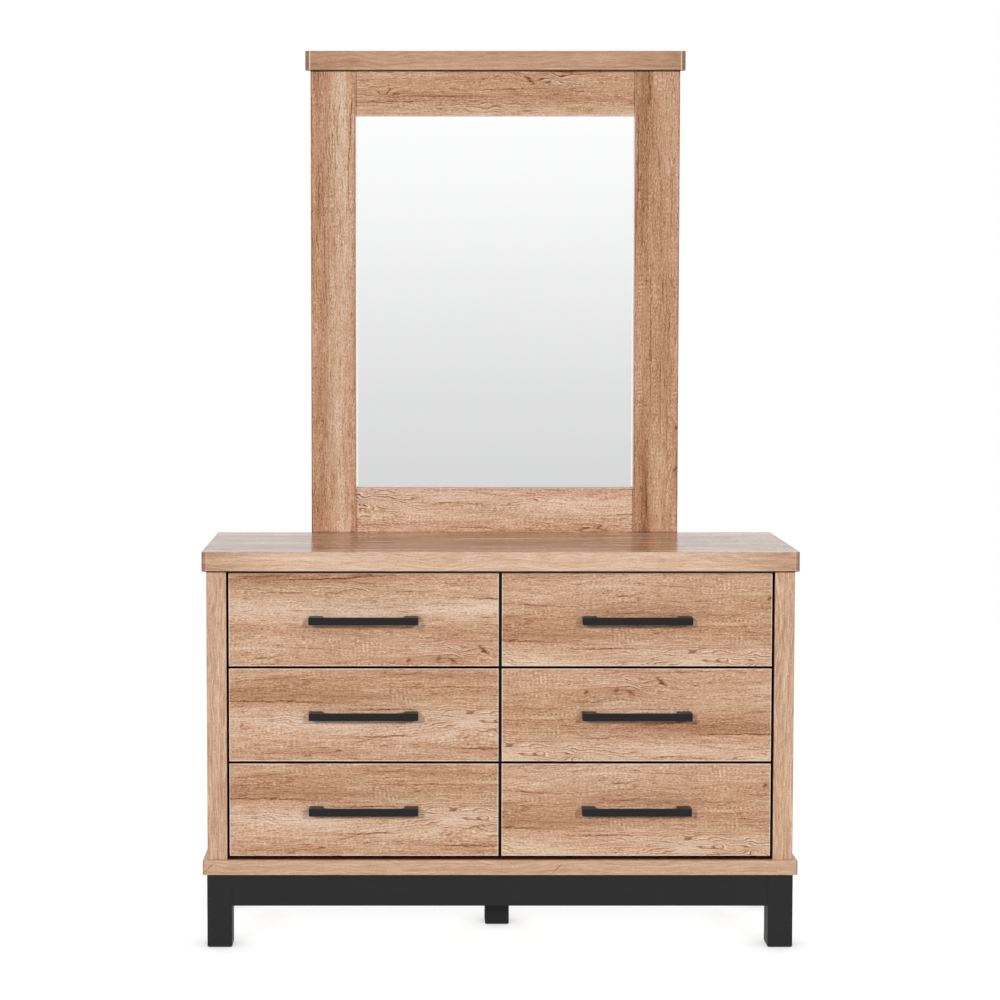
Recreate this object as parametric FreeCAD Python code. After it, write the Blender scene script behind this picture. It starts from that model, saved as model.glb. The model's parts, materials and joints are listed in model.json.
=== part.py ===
import FreeCAD, Part
import os

# Dresser with two columns of drawers on a low base, and a framed mirror that stands on its back edge.
# Millimetres. +Z is up, +X is to the right of a person who faces the drawers, and the drawers open
# towards -Y. The origin is on the floor, under the middle of the whole object's box.

# ---- Driving dimensions ----

# Top, plinth and carcass boards
top_width = 1200.0
top_depth = 400.0
top_thickness = 40.0
corner_radius = 9.0           # front corners of the top and of the mirror's cap, seen from above
arris = 1.0                   # soft edge of every edge-banded board
overhang = 9.0                # top beyond the side panels, at both ends and at the front
side_thickness = 40.0
plinth_thickness = 30.0
divider_thickness = 18.0
divider_setback = 2.0         # divider and cabinet runners behind the backs of the drawer fronts
back_thickness = 3.0
back_lap = 12.0               # back panel onto the rebate of each side panel
stretcher_height = 40.0
stretcher_thickness = 18.0

# Base
base_height = 150.0
base_inset = 8.0              # legs in from the plinth's edges, all round
leg_size = 50.0
rail_height = 65.0
rail_thickness = 18.0
rail_setback = 1.0            # rails behind the faces of the legs
centre_leg_setback = 181.0    # middle leg behind the front edge of the top
pad_thickness = 2.0
pad_inset = 2.0

# Drawers
row_names = ["bottom", "middle", "top"]
front_height = 190.0
front_thickness = 18.0
front_recess = 9.0            # drawer fronts behind the front edges of the side panels
gap_bottom = 4.5
gap_row = 3.5
gap_side = 3.5
gap_middle = 5.0
box_lift = 24.0               # lower edge of the drawer sides above the lower edge of the front
box_headroom = 9.5            # rims of the top drawers below the stretchers
box_board = 12.0              # drawer sides and back
box_rear_gap = 11.0           # drawer sides to the back panel
box_back_inset = 10.0         # drawer back in from the rear ends of the sides
housing_depth = 6.0           # drawer sides and bottom let into the front, bottom let into the sides
back_housing = 4.0            # drawer back let into the sides
bottom_thickness = 3.0
bottom_lift = 12.0            # drawer bottom above the lower edges of the sides
groove_play = 0.1             # each way, between a board and its groove

# Drawer runners: a C profile on the cabinet and a Z profile on the drawer, with nylon glides
runner_space = 12.5           # cabinet wall to drawer side
runner_metal = 1.2
runner_height = 28.0
runner_drop = 6.0             # cabinet profile below the drawer side's lower edge
runner_flange = 10.0
track_height = 17.0           # drawer profile's upper flange above the drawer side's lower edge
track_reach = 4.0             # upper flange and rear glide stay this far from the cabinet wall
sole_width = 11.0             # drawer profile's lower flange, under the drawer side
runner_overlap = 90.0         # length that stays engaged when the drawer is fully open
glide_length = 20.0
glide_inset = 4.0             # rear glide in from the end of the drawer profile
glide_play = 0.3
glide_shy = 0.5               # front glide short of the edge of its flange
stop_height = 2.8
stop_thickness = 3.0
stop_play = 0.5

# Handles
handle_length = 220.0
handle_height = 15.0
handle_projection = 30.0
handle_bar = 8.0
handle_screw_spacing = 192.0
handle_fillet = 10.0          # inside corners, seen from above
handle_arris = 1.0

# Mirror
mirror_width = 600.0
mirror_height = 800.0
glass_thickness = 4.0
glass_play = 0.5
glass_bevel = 4.0             # width of the bevel round the glass
glass_bevel_drop = 1.2
stile_width = 96.0
frame_rail_height = 97.5
frame_thickness = 18.0
frame_arris = 0.5
frame_lap = 12.0              # backing board onto the rebate of the frame
backing_thickness = 3.0
backing_play = 0.5
cap_height = 40.0
cap_overhang = 11.0
cap_front = 10.0              # cap ahead of the frame
batten_width = 60.0
batten_thickness = 18.0
batten_drop = 100.0           # battens reach this far below the surface of the top
batten_short = 100.0          # battens stop this far below the top of the frame

# Dowels
dowel_radius = 4.0
dowel_length = 30.0
dowel_play = 0.1
dowel_end_play = 0.5
rail_dowel_heights = (18.0, 35.0)   # at the ends of a base rail, above its lower edge
plinth_dowel_inset = 160.0          # first dowel into the plinth, from the end of a long rail
carcass_dowel_inset = 40.0          # first dowel of an upright board, from its front and back
frame_dowel_inset = 30.0            # from the upper and lower edges of a rail of the mirror
stile_dowel_inset = 24.0            # from the sides of a stile

# Screws and pins
screw_play = 0.05
wood_screw_radius = 2.0
wood_screw_head = 4.0
wood_screw_cone = 2.5
wood_screw_length = 30.0
batten_screw_inset = 60.0           # highest screw below the top of a batten
batten_screw_rise = 100.0           # lowest screw into a stile, above the surface of the top
runner_screw_radius = 1.75
runner_screw_head = 3.5
runner_screw_cap = 1.8
runner_screw_depth = 8.0            # into the cabinet wall
runner_screw_inset = 40.0           # from each end of a cabinet runner
pin_radius = 0.8
pin_head = 2.4
pin_cap = 0.6
pin_length = 14.0
pin_inset = 30.0                    # first pin from the ends of the back panel
stretcher_pin_inset = 60.0          # from the divider's end of a stretcher
stretcher_pin_rise = 10.0           # above the lower edge of a stretcher
batten_pin_gap = 20.0               # from the edges of a batten
backing_pin_inset = 90.0            # first pin from the corners of the mirror's opening
machine_screw_radius = 2.0
machine_screw_head = 4.0
machine_screw_cap = 2.5
machine_screw_grip = 12.0           # length inside the handle's post

# ---- Sizes that follow ----

front_setback = overhang + front_recess
overall_depth = handle_projection - front_setback + top_depth + batten_thickness

y_top_front = handle_projection - front_setback - overall_depth / 2
y_back = y_top_front + top_depth
y_side_front = y_top_front + overhang
y_face = y_side_front + front_recess
y_box = y_face + front_thickness
y_panel = y_back - back_thickness
y_mirror = y_back - frame_thickness
y_batten = y_back + batten_thickness

x_top = top_width / 2
x_side = x_top - overhang
x_wall = x_side - side_thickness
x_divider = divider_thickness / 2

z_floor = base_height + plinth_thickness
z_top = z_floor + gap_bottom + len(row_names) * (front_height + gap_row)
z_surface = z_top + top_thickness
z_stretcher = z_top - stretcher_height

box_height = front_height + gap_row - box_lift - stretcher_height - box_headroom
runner_length = y_panel - box_rear_gap - y_box
drawer_travel = runner_length - runner_overlap
y_box_end = y_box + runner_length

x_opening = mirror_width / 2
x_frame = x_opening + stile_width
x_cap = x_frame + cap_overhang
x_batten = (x_opening + x_frame) / 2
z_opening = z_surface + frame_rail_height
z_opening_top = z_opening + mirror_height
z_frame = z_opening_top + frame_rail_height

SIDES = {"left": -1, "right": 1}
X = FreeCAD.Vector(1, 0, 0)
Y = FreeCAD.Vector(0, 1, 0)
Z = FreeCAD.Vector(0, 0, 1)
NEAR = 1e-4


# ---- Shapes ----

def block(x, y, z):
    """Box between two values of each of x, y and z, given in either order."""
    low = FreeCAD.Vector(min(x), min(y), min(z))
    return Part.makeBox(abs(x[1] - x[0]), abs(y[1] - y[0]), abs(z[1] - z[0]), low)


def around(centre, width):
    """Lowest and highest value of a width centred on a value."""
    return (centre - width / 2, centre + width / 2)


def spread(low, high, count):
    """Evenly spaced values from low to high, both ends included."""
    return [low + (high - low) * i / (count - 1) for i in range(count)]


def cut(board, tools):
    """Board with the tools that reach it taken out, as one solid."""
    near = [tool for tool in tools if tool.BoundBox.intersect(board.BoundBox)]
    return board.cut(near).Solids[0] if near else board


def fillet(board, radius, chosen):
    """Board with a round of one radius on the edges whose boxes pass a test."""
    edges = [edge for edge in board.Edges if chosen(edge.BoundBox)]
    return board.makeFillet(radius, edges).Solids[0]


def round_front_corners(board, radius):
    """Round the two upright edges at the front of a board."""
    front = board.BoundBox.YMin
    return fillet(board, radius, lambda box: box.YMax < front + NEAR and box.ZLength > NEAR)


def soften_rims(board, radius):
    """Round the edges round the upper and lower faces of a board."""
    low, high = board.BoundBox.ZMin, board.BoundBox.ZMax
    return fillet(board, radius, lambda box: box.ZMax < low + NEAR or box.ZMin > high - NEAR)


def soften_front(board, radius):
    """Round the edges round the front face of a board."""
    front = board.BoundBox.YMin
    return fillet(board, radius, lambda box: box.YMax < front + NEAR)


def node(name, solids):
    """Write one named sub-part, of one solid or of several that stay separate."""
    shape = solids[0] if len(solids) == 1 else Part.makeCompound(solids)
    shape.exportStep(f"parts/{name}.step")


# ---- Fasteners: each call makes a solid and the hole that takes it ----

fasteners = {"wood_dowels": [], "wood_screws": [], "panel_pins": []}
holes = []


def rod(start, direction, radius, length):
    """Cylinder that starts at a point and runs along a direction."""
    return Part.makeCylinder(radius, length, start, direction)


def headed(start, direction, radius, head, cap, length):
    """Straight shank that enters a face, with a flat round head standing on it."""
    top = rod(start - direction * cap, direction, head, cap)
    return top.fuse(rod(start, direction, radius, length)).Solids[0]


def countersunk(start, direction, play):
    """Wood screw with its head flush with a face, grown by a play for its hole."""
    cone = Part.makeCone(wood_screw_head + play, wood_screw_radius + play, wood_screw_cone, start, direction)
    shank = rod(start, direction, wood_screw_radius + play, wood_screw_length + play)
    return cone.fuse(shank).Solids[0]


def dowel(x, y, z, direction):
    """Dowel centred on the joint between two boards."""
    start = FreeCAD.Vector(x, y, z) - direction * (dowel_length / 2)
    fasteners["wood_dowels"].append(rod(start, direction, dowel_radius, dowel_length))
    bore_start = start - direction * dowel_end_play
    holes.append(rod(bore_start, direction, dowel_radius + dowel_play, dowel_length + 2 * dowel_end_play))


def batten_screw(x, z):
    """Countersunk screw from the back of a batten into what lies ahead of it."""
    start = FreeCAD.Vector(x, y_batten, z)
    fasteners["wood_screws"].append(countersunk(start, -Y, 0.0))
    holes.append(countersunk(start, -Y, screw_play))


def runner_screw(start, direction):
    """Flat-headed screw through the web of a cabinet runner into the wall."""
    length = runner_metal + runner_screw_depth
    screw = headed(start, direction, runner_screw_radius, runner_screw_head, runner_screw_cap, length)
    fasteners["wood_screws"].append(screw)
    holes.append(rod(start, direction, runner_screw_radius + screw_play, length + screw_play))


def panel_pin(x, z):
    """Pin driven forwards through a thin board on the back into the wood ahead of it."""
    start = FreeCAD.Vector(x, y_back, z)
    fasteners["panel_pins"].append(headed(start, -Y, pin_radius, pin_head, pin_cap, pin_length))
    holes.append(rod(start, -Y, pin_radius + screw_play, pin_length + screw_play))


# ---- Base ----

def base_parts():
    """Legs, pads and rails of the black base, and the dowels that join them."""
    y_front = y_top_front + base_inset
    y_rear = y_back - base_inset
    y_middle = y_top_front + centre_leg_setback
    x_leg = x_top - base_inset
    x_corner = x_leg - leg_size / 2
    leg_rows = (y_front + leg_size / 2, y_rear - leg_size / 2)
    centres = [(side * x_corner, y) for side in SIDES.values() for y in leg_rows]
    centres.append((0.0, y_middle + leg_size / 2))
    pad = leg_size - 2 * pad_inset
    legs = [block(around(x, leg_size), around(y, leg_size), (pad_thickness, base_height)) for x, y in centres]
    pads = [block(around(x, pad), around(y, pad), (0, pad_thickness)) for x, y in centres]

    z_low = base_height - rail_height
    z_rail = (z_low, base_height)
    x_inner = x_leg - leg_size
    x_end = x_leg - rail_setback - rail_thickness / 2
    y_front_rail = y_front + rail_setback + rail_thickness / 2
    y_back_rail = y_rear - rail_setback - rail_thickness / 2
    long_rails = [
        block((-x_inner, x_inner), around(y, rail_thickness), z_rail)
        for y in (y_front_rail, y_back_rail)
    ]
    runs = [(side * x_end, y_front + leg_size, y_rear - leg_size) for side in SIDES.values()]
    runs.append((0.0, y_front_rail + rail_thickness / 2, y_middle))
    runs.append((0.0, y_middle + leg_size, y_back_rail - rail_thickness / 2))
    short_rails = [block(around(x, rail_thickness), (y0, y1), z_rail) for x, y0, y1 in runs]

    for height in rail_dowel_heights:
        for y in (y_front_rail, y_back_rail):
            dowel(-x_inner, y, z_low + height, X)
            dowel(x_inner, y, z_low + height, X)
        for x, y0, y1 in runs:
            dowel(x, y0, z_low + height, Y)
            dowel(x, y1, z_low + height, Y)
    for y in (y_front_rail, y_back_rail):
        for x in spread(plinth_dowel_inset - x_inner, x_inner - plinth_dowel_inset, 4):
            dowel(x, y, base_height, Z)
    for x, y0, y1 in runs:
        dowel(x, (y0 + y1) / 2, base_height, Z)
    return legs, pads, long_rails, short_rails


# ---- Carcass ----

def top_board():
    """Thick top with rounded front corners."""
    board = block((-x_top, x_top), (y_top_front, y_back), (z_top, z_surface))
    return soften_rims(round_front_corners(board, corner_radius), arris)


def plinth_board():
    """Board under the carcass, as large as the top, with square corners."""
    board = block((-x_top, x_top), (y_top_front, y_back), (base_height, z_floor))
    return soften_rims(board, arris)


def side_panel(side):
    """Thick side panel with a rebate for the back panel."""
    board = block((side * x_wall, side * x_side), (y_side_front, y_back), (z_floor, z_top))
    rebate = block((side * x_wall, side * (x_wall + back_lap)), (y_panel, y_back), (z_floor, z_top))
    return cut(round_front_corners(board, arris), [rebate])


def centre_divider():
    """Board between the two columns of drawers."""
    return block((-x_divider, x_divider), (y_box + divider_setback, y_panel), (z_floor, z_top))


def back_panel():
    """Thin panel that closes the back, let into the rebates of the side panels."""
    reach = x_wall + back_lap
    return block((-reach, reach), (y_panel, y_back), (z_floor, z_top))


def rear_stretchers():
    """Rails under the top at the back, one in each column, that take the battens' lowest screws."""
    y = (y_panel - stretcher_thickness, y_panel)
    return [block((side * x_divider, side * x_wall), y, (z_stretcher, z_top)) for side in SIDES.values()]


def join_carcass():
    """Dowels that hold the carcass boards, and pins that hold the back panel."""
    y_last = y_panel - carcass_dowel_inset
    for z in (z_floor, z_top):
        for y in spread(y_side_front + carcass_dowel_inset, y_last, 3):
            dowel(-(x_side + x_wall) / 2, y, z, Z)
            dowel((x_side + x_wall) / 2, y, z, Z)
        for y in spread(y_box + carcass_dowel_inset, y_last, 3):
            dowel(0.0, y, z, Z)
    for x in (-x_wall, 0.0, x_wall):
        dowel(x, y_panel - stretcher_thickness / 2, (z_stretcher + z_top) / 2, X)

    x_lap = x_wall + back_lap / 2
    for z in spread(z_floor + pin_inset, z_top - pin_inset, 5):
        for x in (-x_lap, 0.0, x_lap):
            panel_pin(x, z)
    x_beside_batten = around(x_batten, batten_width + 2 * batten_pin_gap)
    for x in (x_divider + stretcher_pin_inset, *x_beside_batten):
        panel_pin(-x, z_stretcher + stretcher_pin_rise)
        panel_pin(x, z_stretcher + stretcher_pin_rise)


# ---- Drawer runners ----

def strip(wall, inward, reach, y, z):
    """Block between two distances from a cabinet wall, on the side that inward points to."""
    return block((wall + inward * reach[0], wall + inward * reach[1]), y, z)


def cabinet_runner(wall, inward, z_side):
    """C profile on a cabinet wall, with its travel stop, and the nylon glide at its front end."""
    y0 = y_box + divider_setback
    y1 = y0 + runner_length
    low = z_side - runner_drop
    high = low + runner_height
    track = low + runner_metal
    web = strip(wall, inward, (0, runner_metal), (y0, y1), (low, high))
    lower = strip(wall, inward, (0, runner_flange), (y0, y1), (low, track))
    upper = strip(wall, inward, (0, runner_flange), (y0, y1), (high - runner_metal, high))
    glide_width = (runner_metal, runner_flange - glide_shy)
    y_stop = y_box_end - glide_inset - glide_length - drawer_travel - stop_play
    stop = strip(wall, inward, glide_width, (y_stop - stop_thickness, y_stop), (track, track + stop_height))
    profile = web.fuse([lower, upper, stop]).removeSplitter().Solids[0]
    z_glide = z_side + track_height - runner_metal - glide_play
    glide = strip(wall, inward, glide_width, (y0, y0 + glide_length), (track, z_glide))
    for y in (y0 + runner_screw_inset, y1 - runner_screw_inset):
        start = FreeCAD.Vector(wall + inward * runner_metal, y, (low + high) / 2)
        runner_screw(start, X * -inward)
    return [profile, glide]


def drawer_runner(wall, inward, z_side):
    """Z profile under and beside a drawer side, and the nylon glide at its rear end."""
    y = (y_box, y_box_end)
    near_side = runner_space - runner_metal
    z_sole = (z_side - runner_metal, z_side)
    z_track = (z_side + track_height - runner_metal, z_side + track_height)
    web = strip(wall, inward, (near_side, runner_space), y, (z_sole[0], z_track[1]))
    sole = strip(wall, inward, (near_side, runner_space + sole_width), y, z_sole)
    track = strip(wall, inward, (track_reach, runner_space), y, z_track)
    profile = web.fuse([sole, track]).removeSplitter().Solids[0]
    z_glide = z_side - runner_drop + runner_metal + glide_play
    y_glide = (y_box_end - glide_inset - glide_length, y_box_end - glide_inset)
    glide = strip(wall, inward, (track_reach, near_side), y_glide, (z_glide, z_track[0]))
    return [profile, glide]


# ---- Drawers ----

def handle(x, z):
    """Bar handle with solid end posts, centred on a point of a drawer front, its screws and their bores."""
    post = handle_length - handle_screw_spacing
    z_grip = around(z, handle_height)
    y_outer = y_face - handle_projection
    outer = block(around(x, handle_length), (y_outer, y_face), z_grip)
    gap = block(around(x, handle_length - 2 * post), (y_outer + handle_bar, y_face), z_grip)
    grip = outer.cut(round_front_corners(gap, handle_fillet)).Solids[0]
    grip = fillet(grip, handle_arris, lambda box: box.YMin < y_face - NEAR)
    length = front_thickness + machine_screw_grip
    starts = [FreeCAD.Vector(value, y_box, z) for value in around(x, handle_screw_spacing)]
    head = (machine_screw_radius, machine_screw_head, machine_screw_cap)
    screws = [headed(start, -Y, *head, length) for start in starts]
    bores = [rod(start, -Y, machine_screw_radius + screw_play, length + screw_play) for start in starts]
    return cut(grip, bores), screws, bores


def drawer(row, column):
    """Write the nodes of one drawer, and return the cabinet runners that carry it."""
    name = f"drawer_{row_names[row]}_{column}"
    side = SIDES[column]
    play = groove_play
    bay = sorted((side * x_divider, side * x_wall))
    outside = (bay[0] + runner_space, bay[1] - runner_space)
    inside = (outside[0] + box_board, outside[1] - box_board)
    z_front = z_floor + gap_bottom + row * (front_height + gap_row)
    z_side = z_front + box_lift
    z_rim = z_side + box_height
    z_bottom = z_side + bottom_lift
    z_back = z_bottom + bottom_thickness + play
    y_housing = y_box - housing_depth
    y_rear = y_box_end - box_back_inset

    x_front = sorted((side * gap_middle / 2, side * (x_wall - gap_side)))
    front = block(x_front, (y_face, y_box), (z_front, z_front + front_height))
    x_boards = ((outside[0], inside[0]), (inside[1], outside[1]))
    boards = [block(x, (y_housing + play, y_box_end), (z_side, z_rim)) for x in x_boards]
    housings = [
        block((x[0] - play, x[1] + play), (y_housing, y_box), (z_side - play, z_rim + play))
        for x in x_boards
    ]
    x_bottom = (inside[0] - housing_depth, inside[1] + housing_depth)
    bottom_groove = block(x_bottom, (y_housing, y_box_end), (z_bottom - play, z_back))
    bottom = block(
        (x_bottom[0] + play, x_bottom[1] - play),
        (y_housing + play, y_rear),
        (z_bottom, z_bottom + bottom_thickness),
    )
    x_back = (inside[0] - back_housing, inside[1] + back_housing)
    back_groove = block(x_back, (y_rear - box_board - play, y_rear + play), (z_back, z_rim))
    back = block((x_back[0] + play, x_back[1] - play), (y_rear - box_board, y_rear), (z_back, z_rim))
    grip, screws, bores = handle((x_front[0] + x_front[1]) / 2, z_front + front_height / 2)

    node(f"{name}_front", [cut(soften_front(front, arris), housings + [bottom_groove] + bores)])
    node(f"{name}_sides", [cut(board, [bottom_groove, back_groove]) for board in boards])
    node(f"{name}_back", [back])
    node(f"{name}_bottom", [bottom])
    node(f"{name}_handle", [grip] + screws)
    walls = ((bay[0], 1), (bay[1], -1))
    node(f"{name}_runners", [part for wall, inward in walls for part in drawer_runner(wall, inward, z_side)])
    return [part for wall, inward in walls for part in cabinet_runner(wall, inward, z_side)]


# ---- Mirror ----

def frame_board(x, z):
    """Board of the mirror's frame, rebated where the backing board laps onto it."""
    rebate = block(
        (-x_opening - frame_lap, x_opening + frame_lap),
        (y_back - backing_thickness, y_back),
        (z_opening - frame_lap, z_opening_top + frame_lap),
    )
    return cut(soften_front(block(x, (y_mirror, y_back), z), frame_arris), [rebate])


def mirror_cap():
    """Board on top of the frame, proud of it at the front and at both ends."""
    board = block((-x_cap, x_cap), (y_mirror - cap_front, y_back), (z_frame, z_frame + cap_height))
    return soften_rims(round_front_corners(board, corner_radius), arris)


def backing_board():
    """Thin board behind the glass, in the frame's rebate."""
    reach = frame_lap - backing_play
    x = (-x_opening - reach, x_opening + reach)
    z = (z_opening - reach, z_opening_top + reach)
    return block(x, (y_back - backing_thickness, y_back), z)


def upright_rectangle(x, y, z):
    """Rectangular wire at one y."""
    corners = [(x[0], z[0]), (x[1], z[0]), (x[1], z[1]), (x[0], z[1]), (x[0], z[0])]
    return Part.makePolygon([FreeCAD.Vector(corner[0], y, corner[1]) for corner in corners])


def mirror_glass():
    """Mirror glass on the backing board, in the frame's opening, with a bevel round its front."""
    x = (-x_opening + glass_play, x_opening - glass_play)
    z = (z_opening + glass_play, z_opening_top - glass_play)
    y_rear = y_back - backing_thickness
    y_front = y_rear - glass_thickness
    y_bevel = y_front + glass_bevel_drop
    rim = upright_rectangle(x, y_bevel, z)
    field_x = (x[0] + glass_bevel, x[1] - glass_bevel)
    field_z = (z[0] + glass_bevel, z[1] - glass_bevel)
    field = upright_rectangle(field_x, y_front, field_z)
    slab = block(x, (y_bevel, y_rear), z)
    return slab.fuse(Part.makeLoft([rim, field], True, True)).removeSplitter().Solids[0]


def frame_boards():
    """Two stiles and two rails of the mirror's frame."""
    rail_x = (-x_opening, x_opening)
    return {
        "mirror_stile_left": [frame_board((-x_frame, -x_opening), (z_surface, z_frame))],
        "mirror_stile_right": [frame_board((x_opening, x_frame), (z_surface, z_frame))],
        "mirror_top_rail": [frame_board(rail_x, (z_opening_top, z_frame))],
        "mirror_bottom_rail": [frame_board(rail_x, (z_surface, z_opening))],
    }


def mirror_battens():
    """Two uprights behind the frame that fasten it to the dresser's back."""
    z = (z_surface - batten_drop, z_frame - batten_short)
    return [block(around(side * x_batten, batten_width), (y_back, y_batten), z) for side in SIDES.values()]


def join_mirror():
    """Dowels of the mirror's frame, screws of its battens and pins of its backing board."""
    y_middle = (y_mirror + y_back) / 2
    y_rail_dowel = y_middle - backing_thickness / 2
    z_rail_dowels = [
        z
        for low in (z_surface, z_opening_top)
        for z in (low + frame_dowel_inset, low + frame_rail_height - frame_dowel_inset)
    ]
    z_screws = [(z_stretcher + z_top) / 2, (z_top + z_surface) / 2]
    z_screws += spread(z_surface + batten_screw_rise, z_frame - batten_short - batten_screw_inset, 3)
    for side in SIDES.values():
        for z in z_rail_dowels:
            dowel(side * x_opening, y_rail_dowel, z, X)
        for x in (x_opening + stile_dowel_inset, x_frame - stile_dowel_inset):
            dowel(side * x, y_middle, z_surface, Z)
            dowel(side * x, y_middle, z_frame, Z)
        for z in z_screws:
            batten_screw(side * x_batten, z)
        for z in spread(z_opening + backing_pin_inset, z_opening_top - backing_pin_inset, 5):
            panel_pin(side * (x_opening + frame_lap / 2), z)
    dowel(0.0, y_middle, z_frame, Z)
    for x in spread(backing_pin_inset - x_opening, x_opening - backing_pin_inset, 4):
        panel_pin(x, z_opening - frame_lap / 2)
        panel_pin(x, z_opening_top + frame_lap / 2)


# ---- The whole object ----

os.makedirs("parts", exist_ok=True)

legs, pads, long_rails, short_rails = base_parts()
join_carcass()
join_mirror()
cabinet_runners = []
for row in range(len(row_names)):
    for column in SIDES:
        cabinet_runners += drawer(row, column)

boards = {
    "top_board": [top_board()],
    "side_panel_left": [side_panel(SIDES["left"])],
    "side_panel_right": [side_panel(SIDES["right"])],
    "centre_divider": [centre_divider()],
    "plinth_board": [plinth_board()],
    "back_panel": [back_panel()],
    "rear_stretchers": rear_stretchers(),
    "cabinet_runners": cabinet_runners,
    "base_front_rail": long_rails[:1],
    "base_back_rail": long_rails[1:],
    "base_short_rails": short_rails,
    "base_legs": legs,
    "leg_pads": pads,
    **frame_boards(),
    "mirror_cap": [mirror_cap()],
    "mirror_backing_board": [backing_board()],
    "mirror_battens": mirror_battens(),
}
for name, solids in boards.items():
    node(name, [cut(solid, holes) for solid in solids])
for name, solids in fasteners.items():
    node(name, solids)
node("mirror_glass", [mirror_glass()])
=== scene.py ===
import json
import math

import bpy
from mathutils import Euler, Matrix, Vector

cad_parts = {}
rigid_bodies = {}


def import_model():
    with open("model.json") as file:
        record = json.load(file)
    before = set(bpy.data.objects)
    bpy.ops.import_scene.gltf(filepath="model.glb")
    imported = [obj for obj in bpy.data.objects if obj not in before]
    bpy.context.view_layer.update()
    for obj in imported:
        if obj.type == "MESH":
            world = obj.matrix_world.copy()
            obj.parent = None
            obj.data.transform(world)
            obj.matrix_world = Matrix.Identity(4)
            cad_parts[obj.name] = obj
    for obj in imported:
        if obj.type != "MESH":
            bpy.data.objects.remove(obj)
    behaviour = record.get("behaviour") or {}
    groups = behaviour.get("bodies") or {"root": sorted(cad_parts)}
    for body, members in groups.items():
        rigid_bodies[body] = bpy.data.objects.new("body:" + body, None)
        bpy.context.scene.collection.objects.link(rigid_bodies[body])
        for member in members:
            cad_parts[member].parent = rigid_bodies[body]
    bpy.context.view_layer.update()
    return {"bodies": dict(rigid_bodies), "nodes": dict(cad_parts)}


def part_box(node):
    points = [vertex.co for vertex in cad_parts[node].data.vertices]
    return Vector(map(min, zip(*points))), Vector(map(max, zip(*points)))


# Looks of a dresser with six drawers and a framed mirror. Metres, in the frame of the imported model.
# The oak of the fronts and of the mirror's frame is one printed sheet, from which every board is cut,
# so its figure is laid out once, in millimetres along and across the grain, and each board has a place on it.

# ---- Camera ----
CAMERA_PLACE = (-0.1655, -4.793, 1.305)
CAMERA_TILT = 3.432           # degrees below the horizon
CAMERA_LENS = 82.97
CAMERA_SENSOR = 36.0
CAMERA_SHIFT = (0.0819, -0.06)

# ---- Light ----
AMBIENT = 0.285               # what the surroundings give to matt surfaces
# Soft lights: azimuth from straight ahead, elevation, strength
SOFT_LIGHTS = ((-24.0, 18.0, 1.27), (24.0, 18.0, 1.27), (-145.0, 12.0, 1.0), (145.0, 12.0, 1.0))
SUN_SPREAD = 8.0              # width of each light's disc, in degrees
WHITE = (1.0, 1.0, 1.0, 1.0)
BLACK = (0.0, 0.0, 0.0, 1.0)
# What mirrors show of the surroundings, by how far they look up or down: shades between two slopes
SURROUND_SLOPES = (-0.3, 0.1)
SURROUND_SHADES = (
    (0.0, 0.62), (0.375, 0.645), (0.562, 0.70), (0.65, 0.758), (0.747, 0.838), (0.843, 0.928), (0.95, 1.0),
)
FLOOR_SIZE = 16.0
FLOOR_FADE = (2.4, 5.5)       # radii between which the floor melts into the surroundings
FLOOR_ALBEDO = 0.8            # for the light that reaches the object
FLOOR_SEEN_ALBEDO = 0.3       # for the camera, where a glow makes up for the rest
FLOOR_GLOW_SEEN = 0.88
FLOOR_GLOW_MIRRORED = 0.3
CONTACT_REACH = 0.07          # how far from a foot its contact shadow reaches
CONTACT_SHADE = 0.5

MM = 1000.0                   # millimetres in a metre
LIGHTNESS = 1.0 / 255.0       # a step of lightness


def colour(red, green, blue):
    """Linear colour of an sRGB one given in 0 to 255."""
    def linear(value):
        value /= 255.0
        return value / 12.92 if value <= 0.04045 else ((value + 0.055) / 1.055) ** 2.4
    return (linear(red), linear(green), linear(blue), 1.0)


# ---- Arithmetic on node sockets ----

class Field:
    """A number or vector in a node tree, with arithmetic that adds the nodes for it."""

    def __init__(self, graph, socket):
        self.graph = graph
        self.socket = socket

    def __add__(self, other):
        return self.graph.math("ADD", self, other)

    def __sub__(self, other):
        return self.graph.math("SUBTRACT", self, other)

    def __rsub__(self, other):
        return self.graph.math("SUBTRACT", other, self)

    def __mul__(self, other):
        return self.graph.math("MULTIPLY", self, other)

    def __truediv__(self, other):
        return self.graph.math("DIVIDE", self, other)

    def above(self, low, high):
        """0 below low, 1 above high and a smooth step between."""
        return self.graph.step(self, low, high)

    __radd__ = __add__
    __rmul__ = __mul__


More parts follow.
